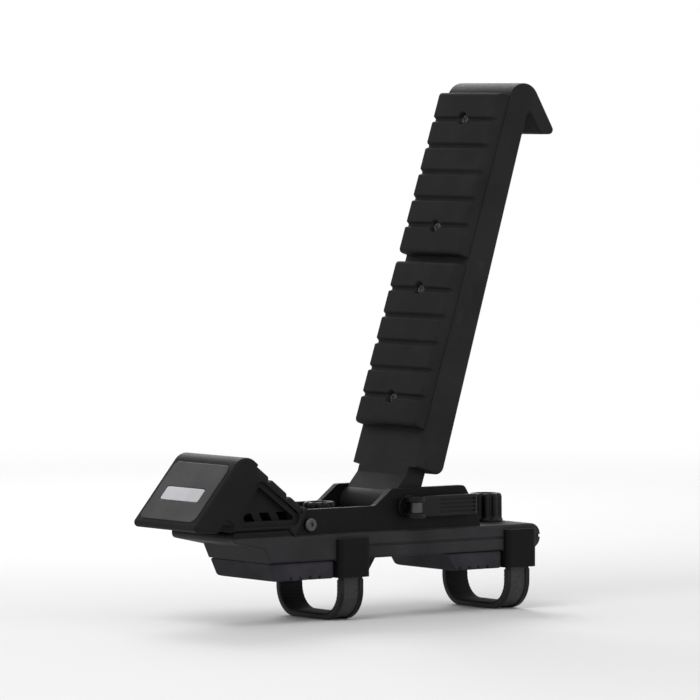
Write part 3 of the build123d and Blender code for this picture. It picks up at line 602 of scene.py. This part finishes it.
# %% Pad on the nose
NOSE_SLOPE = math.radians(38)
NOSE_PAD_THICKNESS = 0.0088
NOSE_PAD_LENGTH = 0.062
nose_low, nose_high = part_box("nose_pad")
nose_run = np.array([math.cos(NOSE_SLOPE), 0.0, -math.sin(NOSE_SLOPE)])
nose_normal = np.array([math.sin(NOSE_SLOPE), 0.0, math.cos(NOSE_SLOPE)])
nose_top = np.array([nose_low.x, 0.0, nose_high.z - NOSE_PAD_THICKNESS * math.cos(NOSE_SLOPE)])
nose_width = nose_high.y - nose_low.y
loft = pad_loft(nose_top, nose_run, nose_normal, NOSE_PAD_LENGTH, nose_width, NOSE_PAD_THICKNESS, [])
pad = add_piece("nose_foam_pad", [loft], "rubber", "base", ["nose_pad"])
sharpen(pad, 60)

# %% [markdown]
# ## Saddles, liners and buffer
# Where the carrier grips and rests it wears rubber: a saddle beside each clamp, a ribbed lining in each band,
# and a small buffer behind the hinge. Moulded rubber has no sharp edge, so each section is a superellipse,
# which is a rectangle with its corners drawn in. The sections of saddle and buffer shrink at both ends to
# round those edges as well.


# %% Rounded sections
def full_turn(count):
    """Angles that go once round a circle in even steps."""
    return np.linspace(0, 2 * np.pi, count, endpoint=False)


def superellipse(count, power=9.0):
    """Outline of a rounded square from -1 to 1: cosine and sine to the power 2 / power, with their signs."""
    turn = full_turn(count)
    wide, tall = np.cos(turn), np.sin(turn)
    return np.sign(wide) * np.abs(wide) ** (2 / power), np.sign(tall) * np.abs(tall) ** (2 / power)


# %% Body of a saddle
SADDLE_TOP = 0.016
SADDLE_ROLL = 0.0018
SADDLE_GROOVES = 4
SADDLE_GROOVE_PITCH = 0.010
SADDLE_GROOVE_WIDTH = 0.003
SADDLE_GROOVE_DEPTH = 0.003
SADDLE_LENGTH = 0.060
SADDLE_SECTIONS = 60
SADDLE_POINTS = 160
SQUARE_CORNERS = 14.0


def saddle_loft(low, high, slant):
    """Sections across the saddle, each leaning with its slanted end; grooves lift its lower half."""
    middle = high.x - SADDLE_LENGTH / 2
    places = in_a_row(middle, SADDLE_GROOVES, SADDLE_GROOVE_PITCH)
    length = high.x - low.x
    foot = low.x + slant * SADDLE_TOP
    focus = (places - foot) * length / (high.x - foot)
    stations = spread(length, SADDLE_SECTIONS, focus, reach=SADDLE_GROOVE_WIDTH)
    share = (stations / length)[:, None]
    inset = rolled_ends(stations, length, SADDLE_ROLL)[:, None]
    wide, tall = superellipse(SADDLE_POINTS, SQUARE_CORNERS)
    half_width = (high.y - low.y) / 2
    z = SADDLE_TOP / 2 + (SADDLE_TOP / 2 - inset) * tall
    lean = slant * (SADDLE_TOP - z) * (1 - share)
    x = low.x + lean + share * length
    groove = np.exp(-(((x[..., None] - places) / (SADDLE_GROOVE_WIDTH / 2)) ** 6)).sum(axis=-1)
    z = z + SADDLE_GROOVE_DEPTH * groove * np.maximum(1 - 2 * z / SADDLE_TOP, 0)
    return np.stack([x, (half_width - inset) * wide + 0 * x, z], axis=-1)


# %% Saddles with their pegs
SADDLE_SLANTS = {"outer": math.tan(math.radians(25)), "inner": math.tan(math.radians(32))}
PEG_RADIUS = 0.005
PEG_Y = 0.023
PEG_SUNK = 0.0005
PEG_POINTS = 40
PEG_SHARES = (1.0, 1.0, 0.97, 0.88)
PEG_DROPS = (0.0008, 0.0003, 0.0)


def turned(x, y, radius, z, turn):
    """Rings round an upright axis at x and y: x + radius * cosine, y + radius * sine, z."""
    return np.stack([x + radius * np.cos(turn), y + radius * np.sin(turn), z + 0 * turn], axis=-1)


def peg_loft(x, y, base, top):
    """Round peg with a rolled top edge."""
    radius = PEG_RADIUS * np.array(PEG_SHARES)[:, None]
    z = np.array([base, *(top - drop for drop in PEG_DROPS)])[:, None]
    return turned(x, y, radius, z, full_turn(PEG_POINTS))


for side, slant in SADDLE_SLANTS.items():
    low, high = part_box(f"{side}_saddle")
    middle = high.x - SADDLE_LENGTH / 2
    lofts = [saddle_loft(low, high, slant)]
    for x in (middle - SADDLE_LENGTH / 4, middle + SADDLE_LENGTH / 4):
        for y in (-PEG_Y, PEG_Y):
            lofts.append(peg_loft(x, y, SADDLE_TOP - PEG_SUNK, high.z))
    saddle = add_piece(f"{side}_rubber_saddle", lofts, "saddle", "base", [f"{side}_saddle"])
    sharpen(saddle, 50)

# %% Path of a liner
LEG_STATIONS = 24
CORNER_STATIONS = 40
FLOOR_STATIONS = 90


def u_path(half, bottom, top, radius):
    """Points down a leg, round a corner, along the bottom, round and up again, with normals to the inside."""
    turn = np.linspace(0, np.pi / 2, CORNER_STATIONS)
    leg_y = np.full(LEG_STATIONS, half)
    leg_z = np.linspace(top, bottom + radius, LEG_STATIONS)
    floor_y = np.linspace(-half + radius, half - radius, FLOOR_STATIONS)
    floor_z = np.full(FLOOR_STATIONS, bottom)
    corner_y = -half + radius - radius * np.cos(turn)
    corner_z = bottom + radius - radius * np.sin(turn)
    y = np.concatenate([-leg_y, corner_y[1:], floor_y[1:-1], -corner_y[::-1], leg_y[1:]])
    z = np.concatenate([leg_z, corner_z[1:], floor_z[1:-1], corner_z[::-1], leg_z[::-1][1:]])
    run_y, run_z = np.gradient(y), np.gradient(z)
    size = np.hypot(run_y, run_z)
    return y, z, -run_z / size, run_y / size


# %% Liners
LINER_CORNER = 0.022
LINER_THICKNESS = 0.002
LINER_RIB = 0.0035
LINER_RIB_DEPTH = 0.0005
LINER_POINTS = 48


def liner_loft(low, high):
    """A rounded strip carried along the U, whose inner face rises and falls in ribs."""
    y, z, in_y, in_z = (row[:, None] for row in u_path((high.y - low.y) / 2, low.z, high.z, LINER_CORNER))
    steps = np.hypot(np.diff(y, axis=0), np.diff(z, axis=0))
    length = np.concatenate([[[0.0]], np.cumsum(steps, axis=0)])
    thick = LINER_THICKNESS - LINER_RIB_DEPTH * (0.5 + 0.5 * np.cos(2 * np.pi * length / LINER_RIB)) ** 2
    wide, tall = superellipse(LINER_POINTS)
    x = (low.x + high.x) / 2 + (high.x - low.x) / 2 * wide
    deep = thick * (0.5 + 0.5 * tall)
    return np.stack([x + 0 * deep, y + deep * in_y, z + deep * in_z], axis=-1)


for side in ("outer", "inner"):
    loft = liner_loft(*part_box(f"{side}_liner"))
    stood_for = [f"{side}_liner"]
    strip = add_piece(f"{side}_ribbed_liner", [loft], "rubber", f"{side}_clamp", stood_for)
    sharpen(strip, 60)

# %% Buffer behind the hinge
BUFFER_HEIGHT = 0.012
BUFFER_THICKNESS = 0.003
BUFFER_START = 0.001
BUFFER_BACK = 0.0184
BUFFER_ROLL = 0.001
BUFFER_SECTIONS = 40
BUFFER_POINTS = 64


def buffer_loft(low, high):
    """Rounded block along Y whose section leans with the upright."""
    length = high.y - low.y
    stations = spread(length, BUFFER_SECTIONS)
    inset = rolled_ends(stations, length, BUFFER_ROLL)[:, None]
    wide, tall = superellipse(BUFFER_POINTS)
    up = BUFFER_START + BUFFER_HEIGHT / 2 + (BUFFER_HEIGHT / 2 - inset) * wide
    out = -BUFFER_BACK + BUFFER_THICKNESS / 2 + (BUFFER_THICKNESS / 2 - inset) * tall
    side = (low.y + stations)[:, None, None] * across
    return pivot + side + up[..., None] * along + out[..., None] * facing


loft = buffer_loft(*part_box("stop_bumper"))
sharpen(add_piece("rubber_buffer", [loft], "rubber", "base", ["stop_bumper"]), 60)

# %% [markdown]
# ## Screws of the pads
# Two pan head screws with a cross recess hold each pad of the upright. A head is turned, with the cross
# pressed into its crown, so one polar grid makes it: the radius and height run along the profile, and the
# cross lowers the points that lie within its arms.

# %% Cross recess heads
HEAD_THICKNESS = 0.0029
HEAD_POINTS = 96
CROWN_RINGS = 40
SHANK_DEPTH = 0.006
RIM_SHARES = (0.55, 0.55, 1.0, 1.0, 0.97)
CROWN_SHARE = 0.93
CROWN_FOOT = 0.78
CROWN_RISE = 0.22
ARM_HALF = 0.16
ARM_REACH = 0.62
ARM_SLOPE = 0.03
ARM_DEPTH = 0.55


def screw_head(middle, normal, side, radius, thickness):
    """Polar grid of a pan head: shank and rim profile, a low crown and a cross with soft edges."""
    turn = full_turn(HEAD_POINTS)
    crown = np.linspace(1, 0.02, CROWN_RINGS)
    rim_z = np.array([-SHANK_DEPTH, 0.0, 0.0, 0.55 * thickness, 0.7 * thickness])
    r = np.concatenate([np.array(RIM_SHARES) * radius, crown * CROWN_SHARE * radius])[:, None]
    dome = CROWN_FOOT * thickness + CROWN_RISE * thickness * (1 - crown**2)
    z = np.concatenate([rim_z, dome])[:, None] + 0 * turn
    arm = np.minimum(np.abs(r * np.cos(turn)), np.abs(r * np.sin(turn)))
    slope = ARM_SLOPE * radius
    within = 1 / (1 + np.exp((arm - ARM_HALF * radius) / slope))
    press = within / (1 + np.exp((r - ARM_REACH * radius) / slope))
    z = z - ARM_DEPTH * thickness * press * (z > 0.75 * thickness)
    over = np.cross(normal, side)
    flat = r[..., None] * (np.cos(turn)[:, None] * side + np.sin(turn)[:, None] * over)
    return middle + flat + z[..., None] * normal


heads = []
for start in PAD_STARTS.values():
    for place in screw_places:
        middle = pivot + facing * (SEAT_OFFSET + SCREW_TOP - SCREW_SUNK) + along * (start + place)
        heads.append(screw_head(middle, facing, along, SCREW_RADIUS, HEAD_THICKNESS))
sharpen(add_piece("pad_screw_heads", heads, "black_zinc", "upright", ["pad_screws"]), 40)

# %% [markdown]
# ## Hand knobs and their studs
# The knob is a fluted column on a plain flange, with a dished top. Its radius is a profile over the height,
# less a scallop that repeats round it. The stud below is an M8 thread: a cylinder whose radius follows a
# triangle wave that climbs one pitch in each turn.

# %% Fluted knob
KNOB_FLUTES = 10
FLUTE_DEPTH = 0.13
FLUTE_POWER = 1.6
KNOB_POINTS = 240
KNOB_RINGS = 85


def knob_loft(low, high):
    """Rings of a knob: flange, neck, fluted body with a rolled top edge and a shallow dish."""
    middle = (low + high) / 2
    radius = (high.x - low.x) / 2
    tall = high.z - low.z
    turn = full_turn(KNOB_POINTS)
    stops = np.array([0.0, 0.02, 0.13, 0.16, 0.2, 0.6, 0.88, 0.94, 0.98, 1.0, 1.0, 0.985, 0.95, 0.94, 0.94])
    reach = np.array([0.96, 1.0, 1.0, 0.98, 0.97, 0.965, 0.96, 0.94, 0.89, 0.82, 0.7, 0.66, 0.6, 0.3, 0.02])
    depth = np.array([0, 0, 0, 0.5, 1, 1, 1, 1, 0.85, 0.5, 0.1, 0, 0, 0, 0])
    fine = np.linspace(0, len(stops) - 1, KNOB_RINGS)
    index = np.arange(len(stops))
    z, r, d = (np.interp(fine, index, profile)[:, None] for profile in (stops, reach, depth))
    scallop = (0.5 + 0.5 * np.cos(KNOB_FLUTES * turn)) ** FLUTE_POWER
    rim = radius * (r - FLUTE_DEPTH * d * scallop)
    return turned(middle.x, middle.y, rim, low.z + tall * z, turn)


print(f"{KNOB_FLUTES} flutes, {100 * FLUTE_DEPTH:.0f}% of the knob's radius deep")

# %% Knobs on their threaded studs
THREAD_PITCH = 0.00125
THREAD_DEPTH = 0.00068
RINGS_PER_PITCH = 10
STUD_POINTS = 36
STUD_TIP = 0.001


def stud_loft(low, high):
    """Rings of a stud: the radius drops by a triangle wave of the height less the climb of the turn."""
    radius = (high.x - low.x) / 2
    turn = full_turn(STUD_POINTS)
    z = np.linspace(low.z, high.z, int((high.z - low.z) / THREAD_PITCH * RINGS_PER_PITCH))[:, None]
    wave = np.abs(2 * ((z / THREAD_PITCH - turn / (2 * np.pi)) % 1) - 1)
    taper = np.minimum((z - low.z) / STUD_TIP, 1)
    rim = radius - THREAD_DEPTH * (1 - taper + taper * wave)
    middle = (low + high) / 2
    return turned(middle.x, middle.y, rim, z, turn)


for side in ("outer", "inner"):
    loft = knob_loft(*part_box(f"{side}_knob"))
    knob = add_piece(f"{side}_fluted_knob", [loft], "grip", f"{side}_screw", [f"{side}_knob"])
    sharpen(knob, 50)
    loft = stud_loft(*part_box(f"{side}_stud"))
    add_piece(f"{side}_stud_thread", [loft], "steel", f"{side}_screw", [f"{side}_stud"])

# %% [markdown]
# ## Plain inlay on the nose
# The nose's cover has a shallow field where a maker would put a name. Here it stays bare: a pale satin plate
# with rolled edges lies in it. Its outline is a superellipse, and each ring of the loft is that outline a
# little smaller and higher than the one before.

# %% Inlay
PLATE_ANGLE = math.radians(50)
INLAY_LENGTH = 0.0546
INLAY_HEIGHT = 0.0136
INLAY_THICKNESS = 0.0009
INLAY_ROLL = 0.0005
INLAY_UP_PLATE = 0.037
INLAY_POINTS = 200
ROLL_RINGS = 8
FACE_INSETS = (0.003, 0.0062)
COVER_FIELD = 0.0002
plate_run = np.array([math.cos(PLATE_ANGLE), 0.0, math.sin(PLATE_ANGLE)])
plate_normal = np.array([-math.sin(PLATE_ANGLE), 0.0, math.cos(PLATE_ANGLE)])
nose_tip = np.array([-0.256, 0.0, 0.046])


def inlay_loft():
    """Superellipse rings: a straight wall, a rolled edge and a flat face."""
    wide, tall = superellipse(INLAY_POINTS, SQUARE_CORNERS)
    roll = np.linspace(0, np.pi / 2, ROLL_RINGS)
    inset = np.concatenate([[0.0], INLAY_ROLL * (1 - np.cos(roll)), FACE_INSETS])[:, None]
    edge = INLAY_THICKNESS - INLAY_ROLL + INLAY_ROLL * np.sin(roll)
    rise = np.concatenate([[0.0], edge, [INLAY_THICKNESS] * len(FACE_INSETS)])
    across_face = (INLAY_LENGTH / 2 - inset) * wide
    up_face = (INLAY_HEIGHT / 2 - inset) * tall
    origin = nose_tip + plate_run * INLAY_UP_PLATE + plate_normal * COVER_FIELD
    return (
        origin
        + across_face[..., None] * across
        + up_face[..., None] * plate_run
        + rise[:, None, None] * plate_normal
    )


sharpen(add_piece("nose_inlay", [inlay_loft()], "inlay", "base"), 40)

# %% [markdown]
# ## Floor, light and camera
# A pale sheet runs under the carrier and fades into a white ground. A big soft lamp stands high at the left,
# a weaker one in front, and one behind draws the outline of the dark mouldings. The camera stands far off
# with a long lens, a little above the carrier's middle and to the left of its front.

# %% Floor
FLOOR_HALF = 6.0
FADE_START = 0.3
FADE_END = 2.4
PAPER_LEVELS = (238, 243)
PAPER_DRIFT = 0.6
PAPER_GRAIN = 0.003


def pale_floor():
    """Pale paper with a slow drift of shade, which turns clear with the distance from the carrier."""
    material, tree, place = start_finish("pale_paper")
    drift = noise(tree, place, PAPER_DRIFT)
    fine = noise(tree, place, PAPER_GRAIN)
    colour = drift.mix(*(grey(level) for level in PAPER_LEVELS))
    sockets = {"Base Color": colour, "Roughness": 0.75 + 0.1 * fine, "Specular IOR Level": 0.2}
    paper = tree.node("ShaderNodeBsdfPrincipled", None, sockets)
    clear = tree.node("ShaderNodeBsdfTransparent")
    reach = tree.node("ShaderNodeVectorMath", {"operation": "LENGTH"}, {0: place}, output="Value")
    sheet = tree.node("ShaderNodeMixShader", None, {0: reach.step(FADE_START, FADE_END), 1: paper, 2: clear})
    tree.node("ShaderNodeOutputMaterial", None, {"Surface": sheet})
    return material


corners = [(-1, -1), (1, -1), (1, 1), (-1, 1)]
sheet = bpy.data.meshes.new("floor")
sheet.from_pydata([(x * FLOOR_HALF, y * FLOOR_HALF, cad_low.z) for x, y in corners], [], [(0, 1, 2, 3)])
sheet.materials.append(pale_floor())
floor = bpy.data.objects.new("floor", sheet)
bpy.context.scene.collection.objects.link(floor)
print(f"floor fades out between {FADE_START} and {FADE_END} m")

# %% World
WORLD_STRENGTH = 0.45
SEES_WHITE = ("Camera", "Glossy", "Transmission")


def white_ground(strength):
    """World that lights at a strength, and that the eye, gloss and glass see as plain white."""
    world = bpy.data.worlds.new("studio")
    world.use_nodes = True
    world.node_tree.nodes.clear()
    tree = Value(world.node_tree)
    seen, gloss, through = (tree.node("ShaderNodeLightPath", output=f"Is {ray} Ray") for ray in SEES_WHITE)
    bright = strength + (1 - strength) * seen.either(gloss).either(through)
    glow = tree.node("ShaderNodeBackground", None, {"Color": (1.0, 1.0, 1.0, 1.0), "Strength": bright})
    tree.node("ShaderNodeOutputWorld", None, {"Surface": glow})
    return world


scene = bpy.context.scene
scene.view_settings.view_transform = "Standard"
scene.world = white_ground(WORLD_STRENGTH)
print(f"white world that lights at {WORLD_STRENGTH}")

# %% Lamps
LAMPS = {
    "key": {"place": (-1.5, -0.7, 1.9), "size": 1.3, "watts": 20},
    "front_fill": {"place": (0.7, -1.9, 0.8), "size": 1.4, "watts": 8},
    "back_light": {"place": (0.6, 1.5, 1.2), "size": 0.9, "watts": 17},
}
target = (cad_low + cad_high) / 2


def add_lamp(name, aim, place, size, watts):
    """Square area lamp at a place that looks at a point."""
    data = bpy.data.lights.new(name, "AREA")
    data.size = size
    data.energy = watts
    light = bpy.data.objects.new(name, data)
    light.location = place
    light.rotation_euler = (aim - light.location).to_track_quat("-Z", "Y").to_euler()
    bpy.context.scene.collection.objects.link(light)
    print(f"{name}: {watts} W from {(aim - light.location).length:.1f} m")


for name, lamp in LAMPS.items():
    add_lamp(name, target, **lamp)

# %% Camera
AZIMUTH = math.radians(-36.5)
ELEVATION = math.radians(2.6)
LENS = 300
FRAME_WIDTH = 0.6
camera_data = bpy.data.cameras.new("camera")
camera_data.lens = LENS
camera = bpy.data.objects.new("camera", camera_data)
flat = math.cos(ELEVATION)
back = (math.sin(AZIMUTH) * flat, -math.cos(AZIMUTH) * flat, math.sin(ELEVATION))
distance = FRAME_WIDTH * LENS / camera_data.sensor_width
camera.location = [t + distance * b for t, b in zip(target, back)]
camera.rotation_euler = (target - camera.location).to_track_quat("-Z", "Y").to_euler()
scene.collection.objects.link(camera)
scene.camera = camera
print(f"camera {distance:.2f} m away, {FRAME_WIDTH:.2f} m wide frame")
